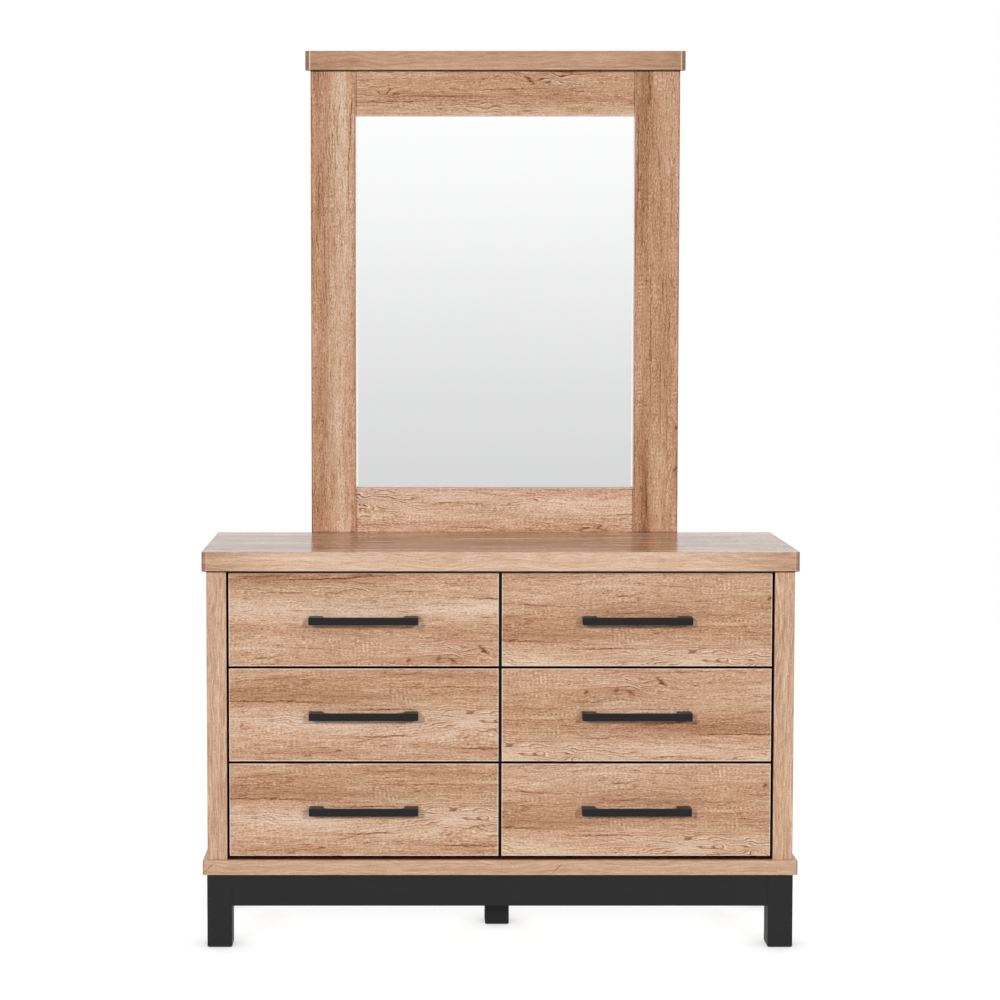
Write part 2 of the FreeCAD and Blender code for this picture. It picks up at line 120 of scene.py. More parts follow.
class Graph:
    """Adds nodes to one tree. What they put out comes back as Fields."""

    SEED_SHIFTS = (13.7, 5.3)  # along and across, from one seed of a flat noise to the next

    def __init__(self, tree):
        self.tree = tree
        tree.nodes.clear()

    def node(self, kind, **settings):
        made = self.tree.nodes.new(kind)
        for name, value in settings.items():
            setattr(made, name, value)
        return made

    def feed(self, socket, value):
        if isinstance(value, Field):
            self.tree.links.new(value.socket, socket)
        else:
            socket.default_value = value

    def math(self, operation, *values):
        made = self.node("ShaderNodeMath", operation=operation)
        for socket, value in zip(made.inputs, values):
            self.feed(socket, value)
        return Field(self, made.outputs[0])

    def vector(self, operation, *values, output=0):
        made = self.node("ShaderNodeVectorMath", operation=operation)
        for socket, value in zip(made.inputs, values):
            self.feed(socket, value)
        return Field(self, made.outputs[output])

    def join(self, x, y, z=0.0):
        made = self.node("ShaderNodeCombineXYZ")
        for socket, value in zip(made.inputs, (x, y, z)):
            self.feed(socket, value)
        return Field(self, made.outputs[0])

    def split(self, value):
        made = self.node("ShaderNodeSeparateXYZ")
        self.feed(made.inputs[0], value)
        return [Field(self, socket) for socket in made.outputs]

    def step(self, value, low, high):
        made = self.node("ShaderNodeMapRange", interpolation_type="SMOOTHSTEP")
        for socket, item in zip(made.inputs, (value, low, high)):
            self.feed(socket, item)
        return Field(self, made.outputs[0])

    def noise(self, place, detail=2.0, rough=0.5, distortion=0.0, flat=False):
        """Noise about 0, mostly from -0.25 to 0.25. Flat noise leaves out the third coordinate."""
        made = self.node("ShaderNodeTexNoise", noise_dimensions="2D" if flat else "3D")
        self.feed(made.inputs["Vector"], place)
        made.inputs["Scale"].default_value = 1.0
        made.inputs["Detail"].default_value = detail
        made.inputs["Roughness"].default_value = rough
        made.inputs["Distortion"].default_value = distortion
        return Field(self, made.outputs[0]) - 0.5

    def grain(self, along, across, length, height, seed, detail=1.0, rough=0.5):
        """Flat noise drawn out to a length and a height."""
        shift_along, shift_across = (seed * shift for shift in self.SEED_SHIFTS)
        place = self.join(along / length + shift_along, across / height + shift_across)
        return self.noise(place, detail, rough, flat=True)

    def speckle(self, place, cycles, *settings):
        """Noise at a place, by its cycles per millimetre: one number, or one for each axis."""
        if isinstance(cycles, float):
            cycles = (cycles,) * 3
        return self.noise(self.vector("MULTIPLY", place, cycles), *settings)

    def patches(self, place, limits, *settings):
        """Speckle turned into patches: where one begins and where it is whole, and what speckle takes."""
        return self.speckle(place, *settings).above(*limits)

    def drawn_out(self, place, sizes, *settings):
        """Noise at a place, by its size in millimetres along each axis."""
        return self.noise(self.vector("DIVIDE", place, sizes), *settings)

    def mix(self, factor, first, second):
        made = self.node("ShaderNodeMix", data_type="RGBA")
        for name, value in (("Factor_Float", factor), ("A_Color", first), ("B_Color", second)):
            socket = next(item for item in made.inputs if item.identifier == name)
            self.feed(socket, value)
        return Field(self, next(item for item in made.outputs if item.identifier == "Result_Color"))

    def ramp(self, value, stops):
        made = self.node("ShaderNodeValToRGB")
        self.feed(made.inputs[0], value)
        elements = made.color_ramp.elements
        while len(elements) < len(stops):
            elements.new(0.5)
        for element, (position, shade) in zip(elements, stops):
            element.position = position
            element.color = shade
        return Field(self, made.outputs[0])

    def bump(self, height, distance):
        made = self.node("ShaderNodeBump")
        made.inputs["Strength"].default_value = 1.0
        made.inputs["Distance"].default_value = distance
        self.feed(made.inputs["Height"], height)
        return Field(self, made.outputs[0])

    def scaled(self, value, sizes, centres):
        """Offset of a vector from its centres, in sizes."""
        shares = tuple(1.0 / size for size in sizes)
        shift = tuple(-centre / size for centre, size in zip(centres, sizes))
        return self.vector("MULTIPLY_ADD", value, shares, shift)

    def place(self):
        """Rest place of the shaded point in millimetres: x, y, z."""
        made = self.node("ShaderNodeTexCoord")
        scaled = self.vector("SCALE", Field(self, made.outputs["Object"]))
        scaled.socket.node.inputs["Scale"].default_value = MM
        return scaled

    def normal(self):
        made = self.node("ShaderNodeTexCoord")
        return self.split(Field(self, made.outputs["Normal"]))

    def rays(self):
        """Whether the camera looks here, and whether a mirror or glass does."""
        made = self.node("ShaderNodeLightPath")
        camera, glossy, through = (
            Field(self, made.outputs[f"Is {kind} Ray"]) for kind in ("Camera", "Glossy", "Transmission")
        )
        return camera, self.math("MAXIMUM", glossy, through)

    def call(self, group, **inputs):
        """The outputs of a node group, by name."""
        made = self.node("ShaderNodeGroup", node_tree=group)
        for name, value in inputs.items():
            self.feed(made.inputs[name], value)
        return {socket.name: Field(self, socket) for socket in made.outputs}

    def surface(self, **inputs):
        """Principled surface with the given inputs. Plain numbers stay on its own sockets."""
        shader = self.node("ShaderNodeBsdfPrincipled")
        for name, value in inputs.items():
            self.feed(shader.inputs[name.replace("_", " ")], value)
        output = self.node("ShaderNodeOutputMaterial")
        self.tree.links.new(shader.outputs[0], output.inputs["Surface"])


def group(name, inputs, outputs):
    """Empty node group, with its graph and its inputs as fields."""
    tree = bpy.data.node_groups.new(name, "ShaderNodeTree")
    graph = Graph(tree)
    for title, kind in inputs.items():
        tree.interface.new_socket(title, in_out="INPUT", socket_type=kind)
    for title, kind in outputs.items():
        tree.interface.new_socket(title, in_out="OUTPUT", socket_type=kind)
    source = graph.node("NodeGroupInput")
    fields = {title: Field(graph, source.outputs[title]) for title in inputs}
    return tree, graph, fields


def finish_group(graph, **outputs):
    sink = graph.node("NodeGroupOutput")
    for name, value in outputs.items():
        graph.feed(sink.inputs[name], value)


def material(name):
    made = bpy.data.materials.new(name)
    made.use_nodes = True
    return made, Graph(made.node_tree)


def blend(parts, weights, base=0.0):
    """A base and a weighted sum of named parts."""
    total = base
    for name, weight in weights.items():
        total = parts[name] * weight + total
    return total


# ---- The oak print ----
# Features of the sheet: along, across, half length, half height, lean, strength.
# Tones are in steps of lightness out of 255. Bends lift the grain by millimetres. Contours are places
# where growth rings show as loops. Saw marks are light bars across the grain.

SHEET = 917.0                 # length after which the print repeats
TONES = (
    (120.0, 320.0, 330.0, 17.0, 0.0, 21.0),
    (520.0, 303.0, 300.0, 17.0, 0.0, 23.0),
    (850.0, 311.0, 200.0, 17.0, 0.0, 20.0),
    (470.0, 371.0, 150.0, 10.0, 0.0, -26.0),
    (310.0, 371.0, 90.0, 12.0, 0.0, -17.0),
    (650.0, 356.0, 130.0, 9.0, 0.0, 7.0),
    (500.0, 266.0, 90.0, 12.0, 0.0, -15.0),
    (730.0, 264.0, 90.0, 12.0, 0.0, -16.0),
    (960.0, 262.0, 120.0, 9.0, 0.0, -15.0),
    (330.0, 266.0, 70.0, 9.0, -0.1, -9.0),
    (250.0, 288.0, 120.0, 5.0, 0.0, 10.0),
    (150.0, 214.0, 90.0, 14.0, 0.0, 8.0),
    (330.0, 234.0, 120.0, 14.0, 0.1, 11.0),
    (540.0, 225.0, 80.0, 14.0, 0.0, 9.0),
    (690.0, 226.0, 60.0, 8.0, 0.0, 7.0),
    (470.0, 188.0, 260.0, 19.0, 0.06, -14.0),
    (170.0, 163.0, 220.0, 13.0, 0.04, -13.0),
    (520.0, 166.0, 160.0, 9.0, 0.0, -10.0),
    (780.0, 168.0, 170.0, 10.0, 0.0, 7.0),
    (800.0, 137.0, 190.0, 13.0, 0.02, -35.0),
    (1010.0, 131.0, 170.0, 14.0, 0.0, -24.0),
    (1170.0, 130.0, 90.0, 13.0, 0.0, -14.0),
    (440.0, 140.0, 190.0, 12.0, 0.0, -12.0),
    (690.0, 113.0, 120.0, 8.0, 0.0, -10.0),
    (130.0, 74.0, 130.0, 19.0, 0.0, 21.0),
    (250.0, 62.0, 150.0, 22.0, 0.0, 14.0),
    (490.0, 88.0, 180.0, 24.0, 0.0, 17.0),
    (500.0, 76.0, 55.0, 10.0, 0.0, 14.0),
    (430.0, 48.0, 150.0, 12.0, 0.0, 13.0),
    (820.0, 86.0, 180.0, 17.0, 0.0, 19.0),
    (740.0, 48.0, 150.0, 15.0, 0.0, 19.0),
    (205.0, 20.0, 60.0, 9.0, 0.0, -16.0),
    (75.0, 16.0, 40.0, 8.0, 0.0, -10.0),
    (520.0, 20.0, 120.0, 9.0, 0.0, -14.0),
    (735.0, 208.0, 42.0, 8.0, 0.0, -13.0),
    (797.0, 225.0, 36.0, 7.0, -0.2, -12.0),
)
KNOTS = (
    (640.0, 207.0, 4.5, 3.4, 0.0, 0.75),
    (700.0, 211.0, 6.0, 3.6, 0.3, 0.6),
    (729.0, 206.0, 9.0, 2.2, -0.7, 0.7),
    (789.0, 229.0, 9.0, 4.0, -0.8, 0.85),
    (24.0, 73.0, 4.0, 2.6, 0.4, 0.7),
    (84.0, 83.0, 4.0, 2.2, 0.0, 0.4),
    (426.0, 255.0, 2.5, 5.0, 0.0, 0.35),
    (324.0, 141.0, 1.4, 5.0, 0.0, 0.5),
    (592.0, 141.0, 1.4, 5.0, 0.0, 0.5),
)
CRACKS = (
    (525.0, 374.0, 52.0, 1.4, 0.05, 0.8),
    (440.0, 371.0, 60.0, 1.4, 0.03, 0.45),
    (560.0, 379.0, 70.0, 1.6, 0.0, 0.35),
    (360.0, 377.0, 60.0, 1.8, 0.0, 0.35),
    (380.0, 344.0, 60.0, 1.4, 0.02, 0.4),
    (330.0, 350.0, 44.0, 1.3, -0.03, 0.3),
    (645.0, 346.0, 50.0, 1.3, 0.0, 0.3),
    (700.0, 322.0, 46.0, 1.2, 0.01, 0.25),
    (800.0, 332.0, 34.0, 1.2, -0.03, 0.4),
    (868.0, 328.0, 90.0, 1.4, -0.05, 0.5),
    (50.0, 326.0, 90.0, 1.2, 0.0, 0.4),
    (120.0, 308.0, 60.0, 1.2, 0.04, 0.25),
    (800.0, 295.0, 26.0, 1.4, 0.0, 0.3),
    (850.0, 303.0, 46.0, 1.3, 0.05, 0.35),
    (160.0, 274.0, 110.0, 1.3, 0.03, 0.45),
    (60.0, 262.0, 70.0, 1.6, 0.0, 0.35),
    (230.0, 283.0, 60.0, 1.2, 0.0, 0.2),
    (840.0, 248.0, 70.0, 1.3, 0.03, 0.35),
    (720.0, 252.0, 50.0, 1.3, 0.0, 0.25),
    (440.0, 231.0, 38.0, 1.3, -0.05, 0.4),
    (352.0, 212.0, 28.0, 1.4, 0.1, 0.4),
    (160.0, 194.0, 60.0, 1.3, -0.05, 0.4),
    (630.0, 186.0, 44.0, 1.3, 0.0, 0.3),
    (600.0, 222.0, 40.0, 1.1, 0.1, 0.25),
    (350.0, 176.0, 30.0, 1.2, 0.05, 0.35),
    (70.0, 166.0, 60.0, 1.3, 0.08, 0.3),
    (560.0, 172.0, 120.0, 1.2, 0.0, 0.25),
    (440.0, 150.0, 130.0, 1.2, 0.0, 0.4),
    (610.0, 150.0, 60.0, 1.1, -0.02, 0.3),
    (800.0, 143.0, 60.0, 1.8, 0.05, 0.45),
    (60.0, 121.0, 100.0, 1.4, 0.0, 0.5),
    (170.0, 119.0, 50.0, 1.2, -0.03, 0.4),
    (680.0, 114.0, 40.0, 1.4, 0.08, 0.35),
    (890.0, 95.0, 30.0, 1.3, -0.15, 0.4),
    (308.0, 104.0, 46.0, 1.3, 0.02, 0.65),
    (60.0, 91.0, 50.0, 1.3, 0.04, 0.25),
    (310.0, 50.0, 60.0, 1.3, 0.01, 0.65),
    (540.0, 66.0, 44.0, 1.2, 0.0, 0.5),
    (800.0, 74.0, 50.0, 1.3, 0.03, 0.4),
    (860.0, 72.0, 40.0, 1.2, 0.0, 0.35),
    (520.0, 25.0, 70.0, 1.4, -0.01, 0.6),
    (650.0, 27.0, 50.0, 1.4, -0.01, 0.5),
    (860.0, 21.0, 70.0, 1.3, -0.03, 0.5),
    (160.0, 15.0, 60.0, 1.2, 0.0, 0.3),
    (265.0, 40.0, 30.0, 1.2, 0.3, 0.35),
)
BENDS = (
    (490.0, 66.0, 120.0, 30.0, 0.0, 22.0),
    (705.0, 206.0, 60.0, 22.0, 0.0, 15.0),
    (640.0, 205.0, 20.0, 10.0, 0.0, 6.0),
    (790.0, 226.0, 24.0, 14.0, 0.0, 9.0),
    (640.0, 60.0, 60.0, 34.0, 0.0, 11.0),
    (60.0, 74.0, 90.0, 14.0, 0.0, 8.0),
    (380.0, 240.0, 120.0, 60.0, 0.0, 8.0),
    (520.0, 352.0, 50.0, 12.0, 0.0, 9.0),
    (140.0, 170.0, 160.0, 20.0, 0.0, 4.0),
)
CONTOURS = (
    (480.0, 86.0, 150.0, 30.0, 0.0, 1.0),
    (650.0, 78.0, 90.0, 28.0, 0.0, 0.9),
    (735.0, 228.0, 60.0, 20.0, 0.0, 1.0),
    (90.0, 82.0, 80.0, 12.0, 0.0, 0.7),
    (205.0, 22.0, 70.0, 14.0, 0.0, 0.5),
    (525.0, 356.0, 60.0, 12.0, 0.0, 0.9),
    (196.0, 254.0, 80.0, 12.0, 0.0, 0.7),
    (886.0, 285.0, 90.0, 14.0, 0.0, 0.6),
)
SAW_MARKS = (
    (185.0, 177.0, 70.0, 6.0, 0.0, 1.0),
    (580.0, 160.0, 90.0, 6.0, 0.0, 0.8),
    (800.0, 166.0, 110.0, 6.0, 0.0, 0.5),
    (325.0, 236.0, 70.0, 12.0, 0.0, 0.6),
    (300.0, 208.0, 50.0, 8.0, 0.0, 0.6),
    (545.0, 232.0, 60.0, 18.0, 0.0, 0.9),
    (565.0, 200.0, 50.0, 6.0, 0.0, 1.0),
    (345.0, 128.0, 40.0, 14.0, 0.0, 0.9),
    (575.0, 126.0, 45.0, 14.0, 0.0, 0.9),
    (35.0, 30.0, 50.0, 14.0, 0.0, 0.6),
    (760.0, 40.0, 120.0, 14.0, 0.0, 0.5),
    (440.0, 268.0, 60.0, 8.0, 0.0, 0.4),
)
NO_FEATURE = (0.0, 0.0, 1.0, 1.0, 0.0, 0.0)  # fills up the last three of a list

# Flat noises of the print: length and height in millimetres, seed, detail, roughness
PRINT_GRAINS = {
    "wander": (190.0, 60.0, 3.7, 0.0),
    "calm": (120.0, 16.0, 2.9, 0.0),
    "broad": (190.0, 11.0, 1.3),
    "streak": (64.0, 4.4, 5.1),
    "fine": (30.0, 2.2, 9.2, 1.0, 0.6),
    "hair": (6.5, 1.8, 14.2, 0.0),
    "speck": (3.4, 3.8, 2.2, 0.0),
    "stir": (56.0, 19.0, 7.5, 1.0, 0.4),
    "shown": (60.0, 17.0, 6.1, 0.0),
    "shift": (60.0, 30.0, 8.8, 0.0),
    "uneven": (22.0, 5.0, 4.4, 0.0),
    "weave": (45.0, 9.0, 6.6, 0.0),
    "dashes": (32.0, 1.5, 11.0),
    "glints": (24.0, 1.7, 12.0),
    "ragged": (9.0, 2.4, 1.9),
    "wavy": (26.0, 30.0, 0.4),
}
# Noises that are turned into patches: where a patch begins, and where it is whole
PRINT_STEPS = {
    "calm": (-0.16, 0.16),
    "shown": (-0.26, 0.02),
    "uneven": (-0.1, 0.12),
    "dashes": (0.14, 0.23),
    "glints": (0.15, 0.25),
}
# Strengths of the figures, in steps of lightness out of 255
PRINT_TONES = {
    "broad": 27.0, "streak": 31.0, "fine": 40.0, "hair": 55.0, "speck": 25.0,
    "rings": 2.0, "contours": 64.0, "marks": 38.0, "weave": 12.0,
    "cracks": -105.0, "knots": -90.0, "dashes": -40.0, "glints": 20.0,
}
PRINT_RELIEF = {"fine": 0.6, "dashes": -0.6, "glints": 0.2}
PRINT_ROUGHNESS = 0.34
PRINT_SHEEN = {"fine": 0.16, "dashes": 0.12}  # what the figures add to the roughness
TONES_SHARE = 0.85
GRAIN_WANDER = 7.0            # millimetres by which the grain strays up and down
CRACK_WANDER = 5.0            # and by which the cracks do
KNOT_WANDER = (5.0, 4.0)      # along and across
CRACK_RAGGED = 2.4
CONTOURED_CALM = 0.6          # share of the calm that contours take away
CONTOURED_STREAK = 0.4        # and of the streaks
CALM_FINE = (0.4, 0.8)        # strength of the fine strokes where it isn't calm, and what calm adds to it
CALM_HAIR = (0.6, 0.5)        # the same for the hairs
RING_PITCH = 7.2
RING_STIR = (5.0, 0.3)        # in rings, among contours and elsewhere
# Lines of a ring: place in the ring, and how far from there a line is whole and where it has ended
DARK_LINE = (0.5, (0.02, 0.2))
LIGHT_LINE = (0.78, (0.0, 0.2))
LIGHT_LINE_SHARE = 0.5        # strength of a light line next to a dark one
SAW_PITCH = 8.8
SAW_SHIFT = 8.0
SAW_BARS = (-0.3, 1.0)        # heights of the wave between which a bar gets light
SAW_BALANCE = 0.3             # share of a bar's lightness that goes back between bars
WEAVE_PITCH = 7.7
OAK_SHADES = (
    (0.20, colour(76, 46, 28)),
    (0.36, colour(124, 81, 54)),
    (0.47, colour(158, 113, 83)),
    (0.55, colour(180, 136, 105)),
    (0.62, colour(196, 155, 125)),
    (0.69, colour(209, 177, 151)),
    (0.80, colour(226, 204, 186)),
)
OAK_MIDDLE = 0.624            # where a tone of 0 is among the shades


def sum_of(graph, along, across, features, period=SHEET):
    """Sum of soft ellipses, each repeated along the board. Three are worked out at a time, as a vector."""
    total = 0.0
    wide = graph.join(along, along, along)
    high = graph.join(across, across, across)
    for start in range(0, len(features), 3):
        trio = (features[start:start + 3] + (NO_FEATURE, NO_FEATURE))[:3]
        x, y, length, height, lean, strength = zip(*trio)
        after = tuple(value + period / 2 for value in x)
        before = tuple(value - period / 2 for value in x)
        dx = graph.vector("WRAP", wide, after, before)
        dx = graph.scaled(dx, length, x)
        dy = graph.scaled(high, height, y)
        if any(lean):
            slant = tuple(-turn * size / rise for turn, size, rise in zip(lean, length, height))
            dy = graph.vector("MULTIPLY_ADD", dx, slant, dy)
        square = graph.vector("MULTIPLY_ADD", dy, dy, graph.vector("MULTIPLY", dx, dx))
        fall = graph.vector("POWER", (math.exp(-1.0),) * 3, square)
        total = graph.vector("DOT_PRODUCT", fall, strength, output=1) + total
    return total


def oak_print():
    """Group: the printed oak at a place on the sheet, as a colour, a height and a roughness."""
    tree, g, fields = group(
        "oak_print",
        {
            "Sheet": "NodeSocketVector", "Tone": "NodeSocketFloat", "Contrast": "NodeSocketFloat",
            "Contours": "NodeSocketFloat",
        },
        {"Colour": "NodeSocketColor", "Height": "NodeSocketFloat", "Roughness": "NodeSocketFloat"},
    )
    along, across, _ = g.split(fields["Sheet"])

    def on_sheet(name, height=across):
        noise = g.grain(along, height, *PRINT_GRAINS[name])
        return noise.above(*PRINT_STEPS[name]) if name in PRINT_STEPS else noise

    grain = across - sum_of(g, along, across, BENDS) + on_sheet("wander") * GRAIN_WANDER
    loose = sum_of(g, along, across, CONTOURS) * fields["Contours"]

    # Streaks along the grain
    calm = on_sheet("calm") * (1.0 - loose * CONTOURED_CALM)
    parts = {
        "broad": on_sheet("broad", grain),
        "streak": on_sheet("streak", grain) * (1.0 - loose * CONTOURED_STREAK),
        "fine": on_sheet("fine", grain) * (CALM_FINE[0] + calm * CALM_FINE[1]),
        "hair": on_sheet("hair", grain) * (CALM_HAIR[0] + calm * CALM_HAIR[1]),
        "speck": on_sheet("speck"),
    }
    texture = blend(parts, {name: PRINT_TONES[name] for name in parts})
    tone = sum_of(g, along, across, TONES) * TONES_SHARE + texture * fields["Contrast"]

    # Growth rings that close into contours where the grain runs out of the board
    contour_stir, plain_stir = RING_STIR
    rings = g.math("FRACT", grain / RING_PITCH + on_sheet("stir") * (loose * contour_stir + plain_stir))
    dark_line, light_line = (
        1.0 - g.math("ABSOLUTE", rings - middle).above(*widths) for middle, widths in (DARK_LINE, LIGHT_LINE)
    )
    strength = loose * PRINT_TONES["contours"] * on_sheet("shown") + PRINT_TONES["rings"]
    tone = tone + (light_line * LIGHT_LINE_SHARE - dark_line) * strength

    # Light bars that a saw left across the grain
    wave = g.math("SINE", (along + on_sheet("shift") * SAW_SHIFT) * (math.tau / SAW_PITCH))
    bars = wave.above(*SAW_BARS) - SAW_BALANCE
    marks = bars * on_sheet("uneven") * sum_of(g, along, across, SAW_MARKS)
    weave = g.math("SINE", along * (math.tau / WEAVE_PITCH)) * on_sheet("weave")
    tone = tone + marks * PRINT_TONES["marks"] + weave * PRINT_TONES["weave"]

    # Dark dashes, cracks and knots
    ragged = on_sheet("ragged")
    wavy = across + on_sheet("wavy") * CRACK_WANDER
    cracks = sum_of(g, along, wavy, CRACKS) * (1.0 + ragged * CRACK_RAGGED)
    knots = sum_of(g, along + ragged * KNOT_WANDER[0], across + ragged * KNOT_WANDER[1], KNOTS)
    parts["dashes"] = on_sheet("dashes", grain)
    parts["glints"] = on_sheet("glints", grain)
    tone = tone + cracks * PRINT_TONES["cracks"] + knots * PRINT_TONES["knots"]
    tone = tone + parts["dashes"] * PRINT_TONES["dashes"] + parts["glints"] * PRINT_TONES["glints"]

    value = (tone + fields["Tone"]) * LIGHTNESS + OAK_MIDDLE
    finish_group(
        g,
        Colour=g.ramp(value, OAK_SHADES),
        Height=blend(parts, PRINT_RELIEF),
        Roughness=blend(parts, PRINT_SHEEN, PRINT_ROUGHNESS),
    )
    return tree


# Smooth oak of the edging: finer and straighter
EDGING_SHADES = (
    # Near black, reached only by painted shade: the drawers' edging and the divider's front in the gaps
    (0.0, colour(8, 6, 5)),
    (0.12, colour(62, 43, 32)),
    (0.30, colour(112, 78, 56)),
    (0.47, colour(158, 118, 91)),
    (0.55, colour(179, 140, 112)),
    (0.62, colour(196, 158, 130)),
    (0.69, colour(210, 175, 148)),
    (0.80, colour(227, 202, 180)),
)
EDGING_MIDDLE = 0.655
# All of these are as for the print
EDGING_GRAINS = {
    "wander": (150.0, 60.0, 0.5, 1.0),
    "broad": (300.0, 14.0, 2.5),
    "streak": (100.0, 4.6, 4.5),
    "fine": (30.0, 2.0, 6.5),
    "speck": (4.5, 2.4, 1.1, 0.0),
    "stir": (30.0, 20.0, 3.3, 0.0),
    "shown": (70.0, 30.0, 8.5, 0.0),
    "dashes": (26.0, 1.6, 9.9),
}
EDGING_STEPS = {"shown": (-0.02, 0.16), "dashes": (0.14, 0.28)}
EDGING_TONES = {"broad": 26.0, "streak": 36.0, "fine": 46.0, "speck": 20.0, "line": -16.0, "dashes": -15.0}
EDGING_RELIEF = {"fine": 0.5, "dashes": -0.4}
EDGING_ROUGHNESS = 0.3
EDGING_SHEEN = {"fine": 0.12, "dashes": 0.1}
EDGING_WANDER = 26.0
EDGING_RING_PITCH = 8.5
EDGING_RING_STIR = 0.5
EDGING_LINE = (0.5, (0.0, 0.15))
SEED_STEP = 997.0             # millimetres along the edging from one seed to the next


def oak_edging():
    """Group: smooth oak edging, from a place along and across it. The third coordinate is a seed."""
    tree, g, fields = group(
        "oak_edging",
        {"Place": "NodeSocketVector", "Tone": "NodeSocketFloat", "Contrast": "NodeSocketFloat"},
        {"Colour": "NodeSocketColor", "Height": "NodeSocketFloat", "Roughness": "NodeSocketFloat"},
    )
    along, across, seed = g.split(fields["Place"])
    away = along + seed * SEED_STEP

    def on_edging(name, height=across):
        noise = g.grain(away, height, *EDGING_GRAINS[name])
        return noise.above(*EDGING_STEPS[name]) if name in EDGING_STEPS else noise

    grain = across + on_edging("wander") * EDGING_WANDER
    rings = g.math("FRACT", grain / EDGING_RING_PITCH + on_edging("stir") * EDGING_RING_STIR)
    middle, widths = EDGING_LINE
    line = 1.0 - g.math("ABSOLUTE", rings - middle).above(*widths)
    parts = {name: on_edging(name, grain) for name in ("broad", "streak", "fine", "dashes")}
    parts["speck"] = on_edging("speck")
    parts["line"] = line * on_edging("shown")
    tone = blend(parts, EDGING_TONES) * fields["Contrast"]
    value = (tone + fields["Tone"]) * LIGHTNESS + EDGING_MIDDLE
    finish_group(
        g,
        Colour=g.ramp(value, EDGING_SHADES),
        Height=blend(parts, EDGING_RELIEF),
        Roughness=blend(parts, EDGING_SHEEN, EDGING_ROUGHNESS),
    )
    return tree


# ---- Oak boards ----

AXES = {"x": 0, "y": 1, "z": 2}
OAK_RELIEF = 0.00012          # metres
# Widths and distances on a board, in millimetres: where something is whole, and where it has ended
RIM_WIDTHS = (2.0, 3.2)       # arrises round a printed face: light ones are painted highlights, on the drawers also the edge band's line; dark ones are painted shade and joint lines
JOINT_AND_SHADE_WIDTHS = (2.0, 3.8)     # painted shadow under the cap, and dark joint with painted shade where the frame meets the top
BAND_WIDTHS = (12.0, 52.0)    # darker band along the top board, to each side of its middle
CORNER_REACH = (8.2, 9.0)     # rounded corner, from the board's end
SEAM_REACH = (10.6, 11.6)     # seam beside the corner, with a painted highlight
ENDS_REACH = (0.0, 170.0)     # painted shade towards the ends
ARRIS_WIDTHS = (3.2, 4.6)     # painted highlight along the lower edge of the top and the cap
LIP_WIDTHS = (1.6, 2.6)       # painted shadow under the top
# The other way round: where something begins, and where it is whole
LIP_REACH = (8.0, 10.0)       # that painted shadow, which begins at the side panel, from the top's end
INSIDE_SHADE_START = (-14.0, 3.0)   # painted shade inside the carcass, from the plane of the drawers' fronts
INSIDE_SHADE_MARGIN = (0.0, 4.0)    # and from its margin at the board's ends
# Noises of the top board, as for the print
BAND_GRAIN = (300.0, 60.0, 4.1)
BAND_STRAY = 140.0            # millimetres by which that band strays
BAND_PLACE = 12.0             # and from the board's middle to the band's
STREAK_GRAIN = (240.0, 14.0, 7.7, 0.0)
# How squarely a face looks along an axis: where something begins, and where it is whole
BROAD_FACE = (0.965, 0.985)   # the print, on a broad face
FACING_INWARD = (0.5, 0.9)    # the painted shade inside
TURNED = (0.6, 0.8)           # the edging of an end
ROUNDED = (0.992, 0.999)      # the same, past a rounded corner
# Tones, in steps of lightness out of 255
STREAK_TONE = 104.0           # long streaks of the top board
# Painted shade on the rounded corners
PAINTED_CORNER_SHADE = -26.0
PAINTED_ARRIS_HIGHLIGHT = 13.0
END_TONE = -34.0              # the plinth's upright arrises
# Short dark lines in the plinth's edging, as features, and millimetres from one to the next
HAIRLINES = ((-587.9, 14.3, 8.0, 1.3, 0.915, 1.0),)
HAIRLINE_PERIOD = 704.0


class Spot:
    """The shaded point of a board: its place and distances from the edges, in millimetres, and its normal."""

    def __init__(self, g, name, face, along, across):
        low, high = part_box(name)
        self.low = low
        self.place = g.split(g.place())
        self.normal = g.normal()
        self.face, self.along, self.across = AXES[face], AXES[along], AXES[across]
        self.rise = self.place[2] - low.z * MM
        self.drop = high.z * MM - self.place[2]
        self.from_end, self.from_side = (
            (high[axis] - low[axis]) * MM / 2
            - g.math("ABSOLUTE", self.place[axis] - (high[axis] + low[axis]) * MM / 2)
            for axis in (self.along, self.across)
        )


def print_tone(g, spot, looks):
    """What a board's looks add to the tone of its printed faces."""
    # Arrises: light ones are painted highlights, dark ones painted shade and joint lines
    end_rim = 1.0 - spot.from_end.above(*RIM_WIDTHS)
    side_rim = 1.0 - spot.from_side.above(*RIM_WIDTHS)
    tone = end_rim * looks["end_rim"] + side_rim * looks["side_rim"] + looks["print"]
    if looks["band"]:
        along, across = spot.place[spot.along], spot.place[spot.across]
        strayed = across + g.grain(along, across, *BAND_GRAIN) * BAND_STRAY
        band = 1.0 - g.math("ABSOLUTE", strayed - BAND_PLACE).above(*BAND_WIDTHS)
        streaks = g.grain(along, across, *STREAK_GRAIN) * STREAK_TONE
        tone = tone + band * looks["band"] + across * looks["slope"] + streaks
    # Dark joint with painted shade at the frame's foot, and painted shadow under the cap
    for joint_and_shade, distance in (("foot", spot.rise), ("painted_cap_shadow", spot.drop)):
        if looks[joint_and_shade]:
            tone = tone + (1.0 - distance.above(*JOINT_AND_SHADE_WIDTHS)) * looks[joint_and_shade]
    # Painted shade inside the carcass: on the plinth under the drawers and on the side panels' inner faces
    if looks["inside"]:
        behind = (spot.place[1] - FRONTS_PLANE).above(*INSIDE_SHADE_START)
        inward = (spot.normal[spot.face] * looks["inner_side"]).above(*FACING_INWARD)
        within = (spot.from_end - looks["margin"]).above(*INSIDE_SHADE_MARGIN)
        tone = tone + behind * inward * within * looks["inside"]
    return tone


